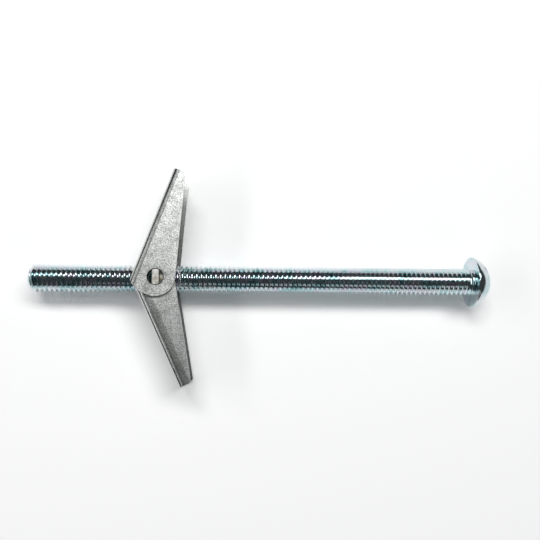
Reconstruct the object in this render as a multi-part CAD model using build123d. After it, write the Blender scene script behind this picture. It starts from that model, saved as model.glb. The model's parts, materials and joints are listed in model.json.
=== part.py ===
from build123d import *
import math
import os

# Spring toggle bolt: a slotted round-head machine screw, a trunnion nut and two sprung wings.
# Millimetres. The screw lies along X with its head at +X, and the origin is the centre of the
# face under the head. The wings turn about Z on the nut's two tabs, and +Z is up.

# Screw
thread_pitch = 25.4 / 16
shank_dia = 9.4
shank_length = 150.3
nose_chamfer = 1.5
head_dia = 17.45
head_height = 6.45
rim_height = 0.5
rim_edge = 0.25
slot_width = 2.3
slot_depth = 3.4
slot_turn = 54  # degrees from +Y towards +Z

# Toggle: where the wings' pivot stands along the screw, and how far open the wings lie
pivot_from_head = 108.0
outer_lean = 20.0  # degrees between an open wing's back and square to the screw
inner_lean = 25.0
backs_gap = 0.07  # from each open wing's back to the plane where the two backs meet
ear_gap = 0.05  # between an inner ear and the outer ear beside it

# Wings, folded from sheet: along the back (s) and square to it (n), from the pivot
sheet = 1.3
wing_width = head_dia  # the toggle and the head lie on one level
back_from_pivot = 7.7
wing_length = 36.0
tip_depth = 4.2
tip_round = 1.2
bend_round = 1.9
ear_radius = 6.35
inner_ear_radius = 6.0  # turns inside the outer wing's bends
heel_straight = 2.6  # the ear's end runs straight this far towards the back
heel_bulge = 0.5
outer_heel = -3.4  # where the outer wing's flanges meet its back
pivot_hole_dia = 5.2
hole_chamfer = 0.25
notch_clearance = 0.4  # between the screw and the notch in each back

# Nut: a plate across the screw, a neck towards the head and a tab at each end
bore_clearance = 0.05
plate_thickness = 2.1
plate_half_width = 6.1
plate_shoulder = 4.7
plate_corner = 1.2
tab_dia = 5.0
tab_recess = 0.15  # the tabs end just inside the outer ears' faces
neck_wall = 0.95
neck_length = 3.5
neck_chamfer = 0.3

# Spring: two turns of wire beside the screw, with a leg along each wing's back
wire_dia = 0.4
coil_radius = 5.4
coil_turns = 2
coil_gap = 0.01  # between the coil's turns
coil_clearance = 0.1  # from the coil to the inner ear over it
coil_offset = (2.55, -0.9)  # the coil hangs off the pivot towards the head
leg_reach = 14.0  # how far along the back each leg presses
leg_clearance = 0.1

# Worked out
pivot_x = -pivot_from_head
shank_r = shank_dia / 2
outer_half = wing_width / 2
inner_half = outer_half - sheet - ear_gap
inner_face = inner_half - sheet
notch_half = shank_r + notch_clearance


def screw():
    """Machine screw: domed head with a slot, and a shank whose fine thread is left smooth."""
    head_r = head_dia / 2
    dome_height = head_height - rim_height
    dome_r = (head_r**2 + dome_height**2) / (2 * dome_height)
    sweep_half = math.asin(head_r / dome_r) / 2
    brow = (head_height - dome_r + dome_r * math.cos(sweep_half), dome_r * math.sin(sweep_half))
    half_section = make_face([
        Line((0, 0), (0, head_r - rim_edge)),
        Line((0, head_r - rim_edge), (rim_edge, head_r)),
        Line((rim_edge, head_r), (rim_height, head_r)),
        ThreePointArc((rim_height, head_r), brow, (head_height, 0)),
        Line((head_height, 0), (0, 0)),
    ])
    head = revolve(half_section, Axis.X)
    slot = Pos(head_height - slot_depth / 2, 0, 0) * Box(slot_depth, slot_width, 2 * head_dia)
    head -= Rot(slot_turn - 90, 0, 0) * slot
    shank = Pos(-shank_length / 2, 0, 0) * Rot(0, 90, 0) * Cylinder(shank_r, shank_length)
    shank = chamfer(shank.edges().group_by(Axis.X)[0], nose_chamfer)
    return head + shank


def wing_profile(ear_r, heel, round_heel):
    """Side outline of a wing in its own s and n: back, rounded tip, free edge and ear."""
    tip_n = back_from_pivot - tip_depth
    touch = math.atan2(tip_n, wing_length) - math.acos(ear_r / math.hypot(wing_length, tip_n))
    low = -math.pi * 3 / 4
    bottom = on_ear(ear_r, low)
    edges = [
        Line((heel, back_from_pivot), (wing_length, back_from_pivot)),
        Line((wing_length, back_from_pivot), (wing_length, tip_n)),
        Line((wing_length, tip_n), on_ear(ear_r, touch)),
        ThreePointArc(on_ear(ear_r, touch), on_ear(ear_r, (touch + low) / 2), bottom),
    ]
    if round_heel:
        side = (-ear_r, 0)
        shoulder = (-ear_r, heel_straight)
        bulge = ((heel - ear_r) / 2 - heel_bulge, (heel_straight + back_from_pivot) / 2 + heel_bulge / 2)
        edges.append(ThreePointArc(bottom, on_ear(ear_r, low - math.pi / 8), side))
        edges.append(Line(side, shoulder))
        edges.append(ThreePointArc(shoulder, bulge, (heel, back_from_pivot)))
    else:
        foot = math.atan2(back_from_pivot - sheet, heel) - 2 * math.pi
        edges.append(ThreePointArc(bottom, on_ear(ear_r, (low + foot) / 2), on_ear(ear_r, foot)))
        edges.append(Line(on_ear(ear_r, foot), (heel, back_from_pivot)))
    face = make_face(edges)
    tip_corner = face.vertices().sort_by_distance((wing_length, tip_n))[0]
    return fillet(tip_corner, tip_round)


def on_ear(ear_r, angle):
    """A point of an ear's edge, at an angle from the wing's length."""
    return (ear_r * math.cos(angle), ear_r * math.sin(angle))


def wing(half_width, ear_r, lean, heel, round_heel):
    """A wing lying along +X with its back towards +Y: a channel cut to the side outline."""
    long_way = 4 * wing_length
    deep = 4 * ear_radius
    outside = Pos(0, back_from_pivot - deep / 2, 0) * Box(long_way, deep, 2 * half_width)
    outside = fillet(outside.edges().filter_by(Axis.X).group_by(Axis.Y)[-1], bend_round)
    inside = Pos(0, back_from_pivot - sheet - deep / 2, 0) * Box(long_way, deep, 2 * (half_width - sheet))
    inside = fillet(inside.edges().filter_by(Axis.X).group_by(Axis.Y)[-1], bend_round - sheet)
    outline = extrude(wing_profile(ear_r, heel, round_heel), half_width, both=True)
    body = outline & (outside - inside)
    body -= back_notch(half_width, lean)
    body -= Cylinder(pivot_hole_dia / 2, 3 * half_width)
    for end in (half_width, -half_width):
        body -= hole_edge(end)
    return body


def back_heel(lean):
    """Where a wing's back ends, so that the two backs meet when both wings are open."""
    return backs_gap - (back_from_pivot - sheet) * math.tan(math.radians(lean))


def back_notch(half_width, lean):
    """What is cut from a wing's back: a round-ended notch for the screw, and the back's end."""
    middle = back_from_pivot - sheet / 2
    depth = 2 * sheet
    slope = math.radians(lean)
    centre = -middle * math.tan(slope)
    top = centre + shank_r / math.cos(slope) + sheet / 2 * math.tan(slope) + notch_clearance
    run = 3 * notch_half
    round_end = Pos(top - notch_half, middle, 0) * Rot(90, 0, 0) * Cylinder(notch_half, depth)
    straight = Pos(top - notch_half - run / 2, middle, 0) * Box(run, depth, 2 * notch_half)
    back_end = Pos(back_heel(lean) - run / 2, middle, 0) * Box(run, depth, 2 * (half_width - sheet))
    return round_end + straight + back_end


def hole_edge(end):
    """The eased edge where a pivot hole breaks out of an ear's outer face."""
    r = pivot_hole_dia / 2
    ease = Cone(r, r + hole_chamfer, hole_chamfer)
    if end > 0:
        return Pos(0, 0, end - hole_chamfer / 2) * ease
    return Pos(0, 0, end + hole_chamfer / 2) * Rot(180, 0, 0) * ease


def outer_wing():
    """The wider wing, turned to where it rests open on the +Y side."""
    blank = wing(outer_half, ear_radius, outer_lean, outer_heel, True)
    return Pos(pivot_x, 0, 0) * Rot(0, 0, 90 - outer_lean) * blank


def inner_wing():
    """The narrower wing, whose ears lie inside the other's, open on the -Y side."""
    blank = wing(inner_half, inner_ear_radius, inner_lean, back_heel(inner_lean), False)
    placed = Rot(0, 0, 90 - inner_lean) * blank
    return Pos(pivot_x, 0, 0) * mirror(placed, about=Plane.XZ)


def nut():
    """Trunnion nut: a plate with a bored neck, and tabs that the wings' ears turn on."""
    plate = Box(plate_thickness, 2 * plate_half_width, 2 * plate_shoulder)
    plate = fillet(plate.edges().filter_by(Axis.X), plate_corner)
    tab_reach = outer_half - tab_recess
    tabs = Cylinder(tab_dia / 2, 2 * tab_reach) & Box(plate_thickness, tab_dia, 2 * tab_reach)
    neck_r = shank_r + neck_wall
    far = plate_thickness / 2 + neck_length
    neck = Pos(far / 2, 0, 0) * Rot(0, 90, 0) * Cylinder(neck_r, far)
    neck = chamfer(neck.edges().group_by(Axis.X)[-1], neck_chamfer)
    bore = Rot(0, 90, 0) * Cylinder(shank_r + bore_clearance, 4 * far)
    return Pos(pivot_x, 0, 0) * (plate + tabs + neck - bore)


def spring():
    """Torsion spring: the coil lies between the screw and the upper inner ear."""
    r = wire_dia / 2
    high_tip = leg_tip(outer_lean, 1)
    low_tip = leg_tip(inner_lean, -1)
    first = leg_angle(high_tip, 1)
    last = leg_angle(low_tip, -1)
    swept = coil_turns + (last - first) / 360 % 1
    pitch = wire_dia + coil_gap
    top = inner_face - coil_clearance - r
    bottom = top - swept * pitch
    turns = Edge.make_helix(pitch, swept * pitch, coil_radius, lefthand=True)
    turns = Pos(*coil_offset, bottom) * Rot(0, 0, last) * turns
    low_leg = Line(turns @ 0 - turns % 0 * leg_length(low_tip), turns @ 0)
    high_leg = Line(turns @ 1, turns @ 1 + turns % 1 * leg_length(high_tip))
    path = Wire([low_leg, turns, high_leg])
    section = Plane(origin=path @ 0, z_dir=path % 0) * Circle(r)
    return Pos(pivot_x, 0, 0) * sweep(section, path=path)


def leg_tip(lean, side):
    """Where a leg ends: inside an open wing's back, from the pivot."""
    slope = math.radians(lean)
    mouth_n = back_from_pivot - sheet - leg_clearance - wire_dia / 2
    x = leg_reach * math.sin(slope) - mouth_n * math.cos(slope)
    y = leg_reach * math.cos(slope) + mouth_n * math.sin(slope)
    return Vector(x, side * y, 0)


def leg_angle(tip, side):
    """The angle on the coil, in degrees, where a leg drawn to a tip leaves its nose side."""
    away = tip - Vector(*coil_offset, 0)
    return math.degrees(math.atan2(away.Y, away.X) + side * math.acos(coil_radius / away.length))


def leg_length(tip):
    """The length of a leg from where it leaves the coil to its tip."""
    return math.sqrt((tip - Vector(*coil_offset, 0)).length ** 2 - coil_radius**2)


os.makedirs("parts", exist_ok=True)
export_step(screw(), "parts/machine_screw.step")
export_step(nut(), "parts/trunnion_nut.step")
export_step(outer_wing(), "parts/outer_wing.step")
export_step(inner_wing(), "parts/inner_wing.step")
export_step(spring(), "parts/torsion_spring.step")
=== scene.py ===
import json
import math
import bmesh
import bpy
from mathutils import Euler, Matrix, Vector


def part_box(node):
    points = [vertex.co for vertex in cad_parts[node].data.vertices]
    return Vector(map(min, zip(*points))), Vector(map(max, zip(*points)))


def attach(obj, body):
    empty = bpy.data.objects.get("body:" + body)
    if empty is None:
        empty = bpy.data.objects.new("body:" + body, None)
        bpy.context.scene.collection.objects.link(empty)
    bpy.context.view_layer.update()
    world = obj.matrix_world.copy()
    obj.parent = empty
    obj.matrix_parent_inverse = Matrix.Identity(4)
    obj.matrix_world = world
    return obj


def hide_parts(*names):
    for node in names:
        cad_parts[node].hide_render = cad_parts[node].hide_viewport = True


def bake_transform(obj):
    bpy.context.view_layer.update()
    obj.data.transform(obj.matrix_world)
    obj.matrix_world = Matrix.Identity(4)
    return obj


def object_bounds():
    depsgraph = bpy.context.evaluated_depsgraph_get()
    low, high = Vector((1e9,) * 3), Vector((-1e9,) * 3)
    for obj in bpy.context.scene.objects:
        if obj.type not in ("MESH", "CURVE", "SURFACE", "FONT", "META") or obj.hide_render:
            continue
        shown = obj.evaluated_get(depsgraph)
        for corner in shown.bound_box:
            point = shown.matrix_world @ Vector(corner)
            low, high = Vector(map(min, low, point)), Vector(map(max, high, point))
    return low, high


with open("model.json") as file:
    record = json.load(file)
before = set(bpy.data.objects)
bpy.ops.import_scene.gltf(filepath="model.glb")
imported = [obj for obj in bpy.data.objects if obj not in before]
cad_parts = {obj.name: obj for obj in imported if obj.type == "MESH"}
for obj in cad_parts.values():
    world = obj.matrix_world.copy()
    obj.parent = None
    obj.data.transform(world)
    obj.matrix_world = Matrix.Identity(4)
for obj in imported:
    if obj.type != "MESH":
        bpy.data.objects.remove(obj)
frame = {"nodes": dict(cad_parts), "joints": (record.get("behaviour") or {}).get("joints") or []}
cad_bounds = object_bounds()


# Machine screw: one piece of steel, its head formed cold and slotted, its thread rolled along
# the whole shank up to the head, and then plated with bright zinc that has a blue-green cast.
# The smooth CAD shank stands for it in the motion model, and the real helix is made here.
MM = 0.001
NOSE_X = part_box("machine_screw")[0].x
HEAD_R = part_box("machine_screw")[1].y
PITCH = 25.4 / 16 * MM
CREST_R = 4.7 * MM
ROOT_R = 3.78 * MM
NOSE_CHAMFER = 1.5 * MM
RUN_OUT = 2.2 * PITCH
NECK_R = 4.35 * MM
TURN_STEPS = 60
HEAD_HEIGHT = 6.45 * MM
RIM_EDGE = 0.25 * MM
RIM_HEIGHT = 0.5 * MM
SLOT_WIDTH = 2.3 * MM
SLOT_DEPTH = 3.4 * MM
SLOT_TURN = math.radians(54 - 90)
ZINC_BLUE = (0.66, 0.74, 0.74)
SLOT_SHADE = (0.30, 0.33, 0.32)


def finished(bm, name, body, material, sharp_deg=35):
    """Turns a bmesh into a piece that rides on a body, smooth but for its sharp edges."""
    bmesh.ops.recalc_face_normals(bm, faces=bm.faces)
    for face in bm.faces:
        face.smooth = True
    for edge in bm.edges:
        edge.smooth = edge.calc_face_angle(0) < math.radians(sharp_deg)
    mesh = bpy.data.meshes.new(name)
    bm.to_mesh(mesh)
    bm.free()
    mesh.materials.append(material)
    piece = bpy.data.objects.new(name, mesh)
    bpy.context.scene.collection.objects.link(piece)
    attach(piece, body)
    return piece


def plating(name, colour, roughness):
    """A metal material, with its shader and a texture coordinate in the object's own frame."""
    material = bpy.data.materials.new(name)
    material.use_nodes = True
    nodes = material.node_tree.nodes
    shader = nodes["Principled BSDF"]
    shader.inputs["Base Color"].default_value = (*colour, 1)
    shader.inputs["Metallic"].default_value = 1
    shader.inputs["Roughness"].default_value = roughness
    place = nodes.new("ShaderNodeTexCoord")
    return material, shader, place.outputs["Object"]


def noise(material, place, per_metre, detail=3, stretch=None):
    """A noise over the object, with so many cells to the metre, and its grey output."""
    nodes, links = material.node_tree.nodes, material.node_tree.links
    texture = nodes.new("ShaderNodeTexNoise")
    texture.inputs["Scale"].default_value = per_metre
    texture.inputs["Detail"].default_value = detail
    if stretch:
        mapping = nodes.new("ShaderNodeMapping")
        mapping.inputs["Scale"].default_value = stretch
        links.new(place, mapping.inputs["Vector"])
        place = mapping.outputs["Vector"]
    links.new(place, texture.inputs["Vector"])
    return texture.outputs["Fac"]


def ramp(material, source, stops):
    """A colour ramp on a grey source; stops are (position, colour)."""
    node = material.node_tree.nodes.new("ShaderNodeValToRGB")
    material.node_tree.links.new(source, node.inputs["Fac"])
    points = node.color_ramp.elements
    for point, (position, colour) in ((points[0], stops[0]), (points[1], stops[-1])):
        point.position = position
        point.color = (*colour, 1)
    for position, colour in stops[1:-1]:
        points.new(position).color = (*colour, 1)
    return node.outputs["Color"]


def grey(value):
    return (value, value, value)


def relief(material, shader, source, distance, strength=1.0):
    """Bump on a shader, from a grey source, so many metres deep."""
    bump = material.node_tree.nodes.new("ShaderNodeBump")
    bump.inputs["Distance"].default_value = distance
    bump.inputs["Strength"].default_value = strength
    material.node_tree.links.new(source, bump.inputs["Height"])
    material.node_tree.links.new(bump.outputs["Normal"], shader.inputs["Normal"])


CASTS = [
    (0.30, (0.34, 0.50, 0.49)), (0.42, (0.50, 0.66, 0.70)), (0.52, ZINC_BLUE),
    (0.60, (0.62, 0.62, 0.72)), (0.72, (0.70, 0.74, 0.68)),
]


def thread_plating():
    """Bright zinc on a rolled thread: nearly a mirror, clouded, with a faint blue-green cast."""
    material, shader, place = plating("bright zinc thread", ZINC_BLUE, 0.2)
    links = material.node_tree.links
    cloud = noise(material, place, 260, detail=4)
    cast = ramp(material, cloud, CASTS)
    links.new(cast, shader.inputs["Base Color"])
    fine = noise(material, place, 1800, detail=3, stretch=(1, 0.4, 0.4))
    links.new(ramp(material, fine, [(0.3, grey(0.08)), (0.7, grey(0.19))]), shader.inputs["Roughness"])
    relief(material, shader, fine, 0.000008, 0.4)
    return material


def bare_object(bm, name):
    mesh = bpy.data.meshes.new(name)
    bm.to_mesh(mesh)
    bm.free()
    thing = bpy.data.objects.new(name, mesh)
    bpy.context.scene.collection.objects.link(thing)
    return thing


def with_modifiers(thing):
    """A bmesh of what an object's modifiers make, after which the object is gone."""
    bpy.context.view_layer.update()
    shaped = bpy.data.meshes.new_from_object(thing.evaluated_get(bpy.context.evaluated_depsgraph_get()))
    bpy.data.objects.remove(thing)
    bm = bmesh.new()
    bm.from_mesh(shaped)
    return bm


def thread_form():
    """One pitch of the thread's outline: (share of the pitch, radius), root to root."""
    rise = CREST_R - ROOT_R
    return [
        (0.00, ROOT_R),
        (0.07, ROOT_R + 0.04 * rise),
        (0.12, ROOT_R + 0.16 * rise),
        (0.40, CREST_R - 0.10 * rise),
        (0.45, CREST_R),
        (0.55, CREST_R),
        (0.60, CREST_R - 0.10 * rise),
        (0.88, ROOT_R + 0.16 * rise),
        (0.93, ROOT_R + 0.04 * rise),
        (1.00, ROOT_R),
    ]


def cut_flat(bm, x, keep):
    """Cuts everything beyond a plane square to the screw and closes the end."""
    geometry = bm.verts[:] + bm.edges[:] + bm.faces[:]
    cut = bmesh.ops.bisect_plane(
        bm, geom=geometry, dist=1e-7, plane_co=(x, 0, 0), plane_no=(keep, 0, 0), clear_inner=True
    )
    rim = [e for e in cut["geom_cut"] if isinstance(e, bmesh.types.BMEdge) and e.is_boundary]
    bmesh.ops.contextual_create(bm, geom=rim)


def thread_shape():
    """The shank: one pitch of thread spun once about the axis, then repeated a pitch apart."""
    start = NOSE_X - 1.5 * PITCH
    bm = bmesh.new()
    outline = [bm.verts.new((start + share * PITCH, 0, r)) for share, r in thread_form()]
    line = [bm.edges.new(pair) for pair in zip(outline, outline[1:])]
    bmesh.ops.spin(
        bm, geom=outline + line, cent=(0, 0, 0), axis=(1, 0, 0), angle=2 * math.pi,
        steps=TURN_STEPS, dvec=(PITCH / TURN_STEPS, 0, 0), use_merge=False,
    )
    one_turn = bare_object(bm, "one turn")
    turns = one_turn.modifiers.new("turns", "ARRAY")
    turns.count = math.ceil(-NOSE_X / PITCH) + 3
    turns.use_relative_offset = False
    turns.use_constant_offset = True
    turns.constant_offset_displace = (PITCH, 0, 0)
    bm = with_modifiers(one_turn)
    bmesh.ops.remove_doubles(bm, verts=bm.verts, dist=2e-6)
    cut_flat(bm, NOSE_X, 1)
    cut_flat(bm, RIM_HEIGHT, -1)
    for vert in bm.verts:
        radius = math.hypot(vert.co.y, vert.co.z)
        if radius < 1e-5:
            continue
        limit = CREST_R - NOSE_CHAMFER + max(vert.co.x - NOSE_X, 0)
        fade = min(max(1 + vert.co.x / RUN_OUT, 0), 1)
        wanted = min(radius + (NECK_R - radius) * fade * fade, limit)
        vert.co.y *= wanted / radius
        vert.co.z *= wanted / radius
    return bm


def head_shape():
    """The head: its half outline spun about the axis."""
    dome_height = HEAD_HEIGHT - RIM_HEIGHT
    dome_r = (HEAD_R**2 + dome_height**2) / (2 * dome_height)
    sweep = math.asin(HEAD_R / dome_r)
    outline = [(0, 0), (0, HEAD_R * 0.5), (0, HEAD_R - RIM_EDGE), (0.07 * MM, HEAD_R - 0.07 * MM), (RIM_EDGE, HEAD_R)]
    for step in range(25):
        angle = sweep * (1 - step / 24)
        outline.append((HEAD_HEIGHT - dome_r + dome_r * math.cos(angle), dome_r * math.sin(angle)))
    bm = bmesh.new()
    verts = [bm.verts.new((x, 0, r)) for x, r in outline]
    line = [bm.edges.new(pair) for pair in zip(verts, verts[1:])]
    bmesh.ops.spin(
        bm, geom=verts + line, cent=(0, 0, 0), axis=(1, 0, 0), angle=2 * math.pi, steps=96, use_merge=True
    )
    bmesh.ops.remove_doubles(bm, verts=bm.verts, dist=1e-6)
    bmesh.ops.recalc_face_normals(bm, faces=bm.faces)
    return bm


def slotted_head():
    """The head with its slot cut and the cut's edges eased."""
    cutter = bmesh.new()
    bmesh.ops.create_cube(cutter, size=1)
    bmesh.ops.scale(cutter, vec=(2 * SLOT_DEPTH, SLOT_WIDTH, 3 * HEAD_R), verts=cutter.verts)
    bmesh.ops.translate(cutter, vec=(HEAD_HEIGHT, 0, 0), verts=cutter.verts)
    bmesh.ops.rotate(cutter, cent=(0, 0, 0), matrix=Matrix.Rotation(SLOT_TURN, 3, "X"), verts=cutter.verts)
    tool = bare_object(cutter, "slot cutter")
    head = bare_object(head_shape(), "head blank")
    cut = head.modifiers.new("slot", "BOOLEAN")
    cut.operation = "DIFFERENCE"
    cut.solver = "EXACT"
    cut.object = tool
    ease = head.modifiers.new("ease", "BEVEL")
    ease.width = 0.12 * MM
    ease.segments = 2
    ease.limit_method = "ANGLE"
    ease.angle_limit = math.radians(50)
    bm = with_modifiers(head)
    bpy.data.objects.remove(tool)
    return bm


screw_mesh = thread_shape()
head_mesh = bpy.data.meshes.new("head")
head_bm = slotted_head()
head_bm.to_mesh(head_mesh)
head_bm.free()
screw_mesh.from_mesh(head_mesh)
screw = finished(screw_mesh, "slotted_screw", "screw", thread_plating())
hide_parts("machine_screw")


# Wings: each is one blank of sheet steel, pierced, folded to a channel and zinc plated. The
# flats keep the pitted grain of the sheet under the plating, and the folds are drawn smooth and
# bright, with stripes of painted shade and painted reflection along them and painted shade round
# the holes. The CAD sheet is kept, and only its sheared edges are eased.
EDGE_EASE = 0.14 * MM
WING_ZINC = (0.60, 0.615, 0.60)
OUTER_LEAN = math.radians(20)
INNER_LEAN = math.radians(25)
BACK = 7.7 * MM
PIVOT = Vector(frame["joints"][1]["pos_m"])
# Painted shade and painted reflection along each wing's fold, over the last 5 mm before the back: dark stripes
# multiplied into the colour, with plain-tone stripes between them that read as the bend's bright reflections. The
# inner wing's stops also lay a broad darker band of painted shade on the flange next to the bend.
FOLD_SHADE_REACH = 5 * MM
OUTER_FOLD_SHADE_STRIPES = [
    (0.51, grey(1.0)), (0.56, grey(0.35)), (0.62, grey(0.45)), (0.66, grey(1.0)), (0.75, grey(1.0)),
    (0.79, grey(0.30)), (0.84, grey(0.35)), (0.88, grey(1.0)), (1.0, grey(0.9)),
]
INNER_FOLD_SHADE_STRIPES = [
    (0.16, grey(1.0)), (0.24, grey(0.60)), (0.56, grey(0.52)), (0.62, grey(0.25)), (0.67, grey(1.0)),
    (0.76, grey(1.0)), (0.80, grey(0.30)), (0.85, grey(0.35)), (0.89, grey(1.0)), (1.0, grey(0.9)),
]
# Painted shade round each wing's hole, by distance from the pivot: darkest down the hole's wall, plain tone on the
# chamfer, then a faint darker ring just outside it, so the chamfer reads as a painted bright rim.
HOLE_EDGE_SHADE = [(0.0, grey(0.35)), (0.18, grey(0.6)), (0.26, grey(1.0)), (0.45, grey(1.0)), (0.60, grey(0.8)), (1.0, grey(1.0))]


def sheet_plating(name, half, tone, back, fold_shade_stops):
    """Satin zinc: pitted where a flange is flat, which is near half, and drawn smooth on the
    folds. Along the folds the colour carries stripes of painted shade and painted reflection,
    from the stops given, and round the hole it carries painted shade. back points square out of its back."""
    material, shader, place = plating(name, tone, 0.34)
    nodes, links = material.node_tree.nodes, material.node_tree.links
    from_pivot = nodes.new("ShaderNodeVectorMath")
    from_pivot.operation = "SUBTRACT"
    from_pivot.inputs[1].default_value = PIVOT
    links.new(place, from_pivot.inputs[0])
    out = nodes.new("ShaderNodeVectorMath")
    out.operation = "DOT_PRODUCT"
    out.inputs[1].default_value = back
    links.new(from_pivot.outputs["Vector"], out.inputs[0])
    across = nodes.new("ShaderNodeMapRange")
    across.inputs["From Min"].default_value = BACK - FOLD_SHADE_REACH
    across.inputs["From Max"].default_value = BACK
    links.new(out.outputs["Value"], across.inputs["Value"])
    # painted shade and painted reflection: stripes across the last 5 mm before the wing's back
    fold_shade = ramp(material, across.outputs["Result"], fold_shade_stops)
    level = nodes.new("ShaderNodeVectorMath")
    level.operation = "MULTIPLY"
    level.inputs[1].default_value = (1, 1, 0)
    links.new(from_pivot.outputs["Vector"], level.inputs[0])
    reach = nodes.new("ShaderNodeVectorMath")
    reach.operation = "LENGTH"
    links.new(level.outputs["Vector"], reach.inputs[0])
    around = nodes.new("ShaderNodeMapRange")
    around.inputs["From Min"].default_value = 2.4 * MM
    around.inputs["From Max"].default_value = 3.6 * MM
    links.new(reach.outputs["Value"], around.inputs["Value"])
    # painted shade round the hole's edge, with a faint darker ring outside the chamfer
    rim = ramp(material, around.outputs["Result"], HOLE_EDGE_SHADE)
    apart = nodes.new("ShaderNodeSeparateXYZ")
    links.new(place, apart.inputs["Vector"])
    height = nodes.new("ShaderNodeMath")
    height.operation = "ABSOLUTE"
    links.new(apart.outputs["Z"], height.inputs[0])
    flat = nodes.new("ShaderNodeMapRange")
    flat.inputs["From Min"].default_value = half - 0.12 * MM
    flat.inputs["From Max"].default_value = half - 0.01 * MM
    links.new(height.outputs[0], flat.inputs["Value"])
    grain = noise(material, place, 2600, detail=5)
    blotch = noise(material, place, 330, detail=4)
    speck = ramp(material, grain, [(0.36, grey(0.30)), (0.50, tone), (0.66, (0.86, 0.87, 0.85))])
    stain = ramp(material, blotch, [(0.30, (0.62, 0.64, 0.61)), (0.62, (1, 1, 1))])
    mixed = nodes.new("ShaderNodeMix")
    mixed.data_type = "RGBA"
    mixed.blend_type = "MULTIPLY"
    mixed.inputs["Factor"].default_value = 0.8
    links.new(speck, mixed.inputs["A"])
    links.new(stain, mixed.inputs["B"])
    both = nodes.new("ShaderNodeMix")
    both.data_type = "RGBA"
    links.new(flat.outputs["Result"], both.inputs["Factor"])
    both.inputs["A"].default_value = (*tone, 1)
    links.new(mixed.outputs["Result"], both.inputs["B"])
    # multiplies the painted shade and reflection stripes of the fold into the colour
    fold_shaded = nodes.new("ShaderNodeMix")
    fold_shaded.data_type = "RGBA"
    fold_shaded.blend_type = "MULTIPLY"
    fold_shaded.inputs["Factor"].default_value = 1
    links.new(both.outputs["Result"], fold_shaded.inputs["A"])
    links.new(fold_shade, fold_shaded.inputs["B"])
    # multiplies the painted shade round the hole into the colour
    hole_edge_shaded = nodes.new("ShaderNodeMix")
    hole_edge_shaded.data_type = "RGBA"
    hole_edge_shaded.blend_type = "MULTIPLY"
    hole_edge_shaded.inputs["Factor"].default_value = 1
    links.new(fold_shaded.outputs["Result"], hole_edge_shaded.inputs["A"])
    links.new(rim, hole_edge_shaded.inputs["B"])
    links.new(hole_edge_shaded.outputs["Result"], shader.inputs["Base Color"])
    dull = nodes.new("ShaderNodeMapRange")
    links.new(flat.outputs["Result"], dull.inputs["Value"])
    dull.inputs["To Min"].default_value = 0.26
    dull.inputs["To Max"].default_value = 0.36
    links.new(dull.outputs["Result"], shader.inputs["Roughness"])
    pits = nodes.new("ShaderNodeMath")
    pits.operation = "MULTIPLY"
    links.new(grain, pits.inputs[0])
    links.new(flat.outputs["Result"], pits.inputs[1])
    relief(material, shader, pits.outputs[0], 0.00009, 0.9)
    return material


def eased_sheet(node, name, body, material):
    """A copy of a CAD wing, merged to whole faces, with its edges eased."""
    bm = bmesh.new()
    bm.from_mesh(frame["nodes"][node].data)
    bmesh.ops.remove_doubles(bm, verts=bm.verts, dist=1e-6)
    bmesh.ops.dissolve_limit(bm, angle_limit=math.radians(0.6), verts=bm.verts, edges=bm.edges)
    sharp = [e for e in bm.edges if len(e.link_faces) == 2 and e.calc_face_angle(0) > math.radians(50)]
    bmesh.ops.bevel(
        bm, geom=sharp, offset=EDGE_EASE, offset_type="OFFSET", affect="EDGES", segments=2,
        profile=0.5, material=-1, clamp_overlap=True,
    )
    piece = finished(bm, name, body, material, sharp_deg=50)
    flatten = piece.modifiers.new("flat faces", "WEIGHTED_NORMAL")
    flatten.keep_sharp = True
    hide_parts(node)
    return piece


outer_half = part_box("outer_wing")[1].z
inner_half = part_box("inner_wing")[1].z
outer_back = (-math.cos(OUTER_LEAN), math.sin(OUTER_LEAN), 0)
inner_back = (-math.cos(INNER_LEAN), -math.sin(INNER_LEAN), 0)
outer_zinc = sheet_plating("outer wing zinc", outer_half, WING_ZINC, outer_back, OUTER_FOLD_SHADE_STRIPES)
inner_zinc = sheet_plating("inner wing zinc", inner_half, WING_ZINC, inner_back, INNER_FOLD_SHADE_STRIPES)
outer = eased_sheet("outer_wing", "outer_channel", "outer_wing", outer_zinc)
inner = eased_sheet("inner_wing", "inner_channel", "inner_wing", inner_zinc)


# Trunnion nut: a stamped steel plate whose tapped neck was drawn out of it, with two tabs that
# carry the wings. Its plating is duller than the wings', and browned in random patches.
def nut_plating():
    material, shader, place = plating("trunnion nut zinc", (0.62, 0.62, 0.58), 0.38)
    links = material.node_tree.links
    worn = noise(material, place, 700, detail=5)
    tint = ramp(material, worn, [(0.35, (0.42, 0.38, 0.31)), (0.52, (0.62, 0.62, 0.58)), (0.7, (0.78, 0.78, 0.76))])
    links.new(tint, shader.inputs["Base Color"])
    grain = noise(material, place, 3200, detail=3)
    relief(material, shader, grain, 0.00006, 0.7)
    return material


nut = frame["nodes"]["trunnion_nut"]
nut.data.materials.clear()
nut.data.materials.append(nut_plating())


# Torsion spring: drawn wire wound two turns, lying over the screw inside the upper inner ear.
# Each leg presses on one wing's back; the wire is made in two halves, each reaching into its own open wing, and both
# are left in place on no body.
WIRE_R = 0.2 * MM
SPRING_LOW, SPRING_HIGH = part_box("torsion_spring")
COIL_R = 5.4 * MM
COIL_CENTRE = PIVOT + Vector((2.55, -0.9, 0)) * MM
COIL_PITCH = 0.41 * MM
SHEET = 1.3 * MM
LEG_CLEARANCE = 0.1 * MM
LEG_REACH = 14 * MM


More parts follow.
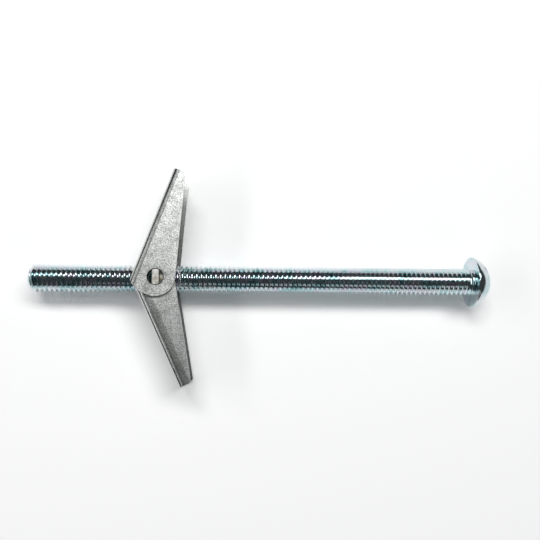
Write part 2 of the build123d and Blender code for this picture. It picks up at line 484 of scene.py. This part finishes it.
def wire_material():
    material, shader, place = plating("spring wire steel", (0.78, 0.79, 0.78), 0.25)
    drawn = noise(material, place, 2500, detail=3)
    links = material.node_tree.links
    links.new(ramp(material, drawn, [(0.3, (0.55, 0.56, 0.54)), (0.7, (0.86, 0.87, 0.86))]), shader.inputs["Base Color"])
    relief(material, shader, drawn, 0.00002, 0.5)
    return material


def tube_along(points, name, body, material):
    """A wire along a smooth line of points, as a mesh."""
    curve = bpy.data.curves.new(name, "CURVE")
    curve.dimensions = "3D"
    curve.bevel_depth = WIRE_R
    curve.bevel_resolution = 3
    curve.use_fill_caps = True
    line = curve.splines.new("POLY")
    line.points.add(len(points) - 1)
    for spot, point in zip(line.points, points):
        spot.co = (*point, 1)
    holder = bpy.data.objects.new(name + " line", curve)
    bpy.context.scene.collection.objects.link(holder)
    bm = with_modifiers(holder)
    return finished(bm, name, body, material, sharp_deg=60)


def leg_tip(side):
    """Where a leg ends, inside the back of its open wing."""
    lean = OUTER_LEAN if side > 0 else INNER_LEAN
    mouth = BACK - SHEET - LEG_CLEARANCE - WIRE_R
    x = LEG_REACH * math.sin(lean) - mouth * math.cos(lean)
    y = LEG_REACH * math.cos(lean) + mouth * math.sin(lean)
    return PIVOT + Vector((x, side * y, 0))


def leave_angle(side):
    """The angle on the coil where a leg leaves it."""
    away = leg_tip(side) - COIL_CENTRE
    return math.atan2(away.y, away.x) + side * math.acos(COIL_R / away.length)


def half_spring(side):
    """Points of half the spring, from the middle of the wire to the tip of one leg."""
    away = leg_tip(side) - COIL_CENTRE
    tip_x, tip_y = leg_tip(side).xy
    dx, dy = away.xy
    leave = leave_angle(side)
    swept = 4 * math.pi + (side * (leave_angle(-side) - leave)) % (2 * math.pi)
    slope = COIL_PITCH / (2 * math.pi * COIL_R)
    leg = math.sqrt(dx * dx + dy * dy - COIL_R * COIL_R)
    end_z = SPRING_HIGH.z - WIRE_R - leg * slope if side > 0 else SPRING_LOW.z + WIRE_R + leg * slope
    points = []
    steps = 72
    for step in range(steps + 1):
        back = swept / 2 * (1 - step / steps)
        angle = leave + side * back
        z = end_z - side * COIL_PITCH * back / (2 * math.pi)
        points.append((COIL_CENTRE.x + COIL_R * math.cos(angle), COIL_CENTRE.y + COIL_R * math.sin(angle), z))
    last = Vector(points[-1])
    along = Vector((tip_x - last.x, tip_y - last.y, side * slope * leg))
    for step in range(1, 13):
        points.append(tuple(last + along * (step / 12)))
    return points


wire = wire_material()
for side, name, wing in ((1, "spring_upper_half", "outer_wing"), (-1, "spring_lower_half", "inner_wing")):
    half = tube_along(half_spring(side), name, "nut", wire)
    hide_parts("torsion_spring")
    half.parent = None
    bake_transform(half)


# Setting: a pale sweep, a long soft lamp overhead on the outer wing's side, a weak fill and the camera
FLOOR_Z = cad_bounds[0][2]
FLOOR_SEEN = (1.8, 1.8, 1.79)


def sweep_floor():
    """A white floor that looks brighter to the eye and in reflections than it lights the object."""
    bm = bmesh.new()
    bmesh.ops.create_grid(bm, x_segments=1, y_segments=1, size=2)
    bmesh.ops.translate(bm, vec=(-0.07, 0, FLOOR_Z), verts=bm.verts)
    floor = bare_object(bm, "floor")
    material = bpy.data.materials.new("pale floor")
    material.use_nodes = True
    nodes, links = material.node_tree.nodes, material.node_tree.links
    nodes.remove(nodes["Principled BSDF"])
    path = nodes.new("ShaderNodeLightPath")
    seen = nodes.new("ShaderNodeMath")
    seen.operation = "MAXIMUM"
    links.new(path.outputs["Is Camera Ray"], seen.inputs[0])
    links.new(path.outputs["Is Glossy Ray"], seen.inputs[1])
    through = nodes.new("ShaderNodeMath")
    through.operation = "MAXIMUM"
    links.new(seen.outputs[0], through.inputs[0])
    links.new(path.outputs["Is Transmission Ray"], through.inputs[1])
    plain, bright = nodes.new("ShaderNodeBsdfDiffuse"), nodes.new("ShaderNodeBsdfDiffuse")
    plain.inputs["Color"].default_value = (0.9, 0.9, 0.9, 1)
    bright.inputs["Color"].default_value = (*FLOOR_SEEN, 1)
    mix = nodes.new("ShaderNodeMixShader")
    links.new(through.outputs[0], mix.inputs["Fac"])
    links.new(plain.outputs[0], mix.inputs[1])
    links.new(bright.outputs[0], mix.inputs[2])
    links.new(mix.outputs[0], nodes["Material Output"].inputs["Surface"])
    floor.data.materials.append(material)


def lamp(name, place, aim, size, watts):
    light = bpy.data.lights.new(name, "AREA")
    light.shape = "RECTANGLE"
    light.size, light.size_y = size
    light.energy = watts
    thing = bpy.data.objects.new(name, light)
    thing.location = place
    direction = Vector(aim) - Vector(place)
    thing.rotation_euler = direction.to_track_quat("-Z", "Y").to_euler()
    bpy.context.scene.collection.objects.link(thing)


sweep_floor()
lamp("key", (0.02, 0.45, 0.90), (-0.07, 0, 0), (1.08, 0.24), 5.2)
lamp("top", (-0.14, 0.09, 0.50), (-0.10, 0.02, 0), (0.08, 0.06), 0.10)
lamp("side", (-0.65, 0, 0.42), (-0.10, 0, 0), (0.60, 0.10), 0.55)
lamp("fill", (0.25, -0.5, 0.35), (-0.07, 0, 0), (0.25, 0.25), 0.15)
world = bpy.data.worlds.new("studio")
world.use_nodes = True
world.node_tree.nodes["Background"].inputs["Color"].default_value = (0.05, 0.052, 0.055, 1)
bpy.context.scene.world = world

camera = bpy.data.objects.new("camera", bpy.data.cameras.new("camera"))
camera.data.sensor_width = 36
camera.data.lens = 41.09
camera.data.clip_start = 0.005
camera.location = (-0.08294, -0.01996, 0.20987)
camera.rotation_euler = Euler([math.radians(a) for a in (6.360, -3.531, 0.272)])
bpy.context.scene.collection.objects.link(camera)
bpy.context.scene.camera = camera
bpy.context.scene.view_settings.view_transform = "Standard"
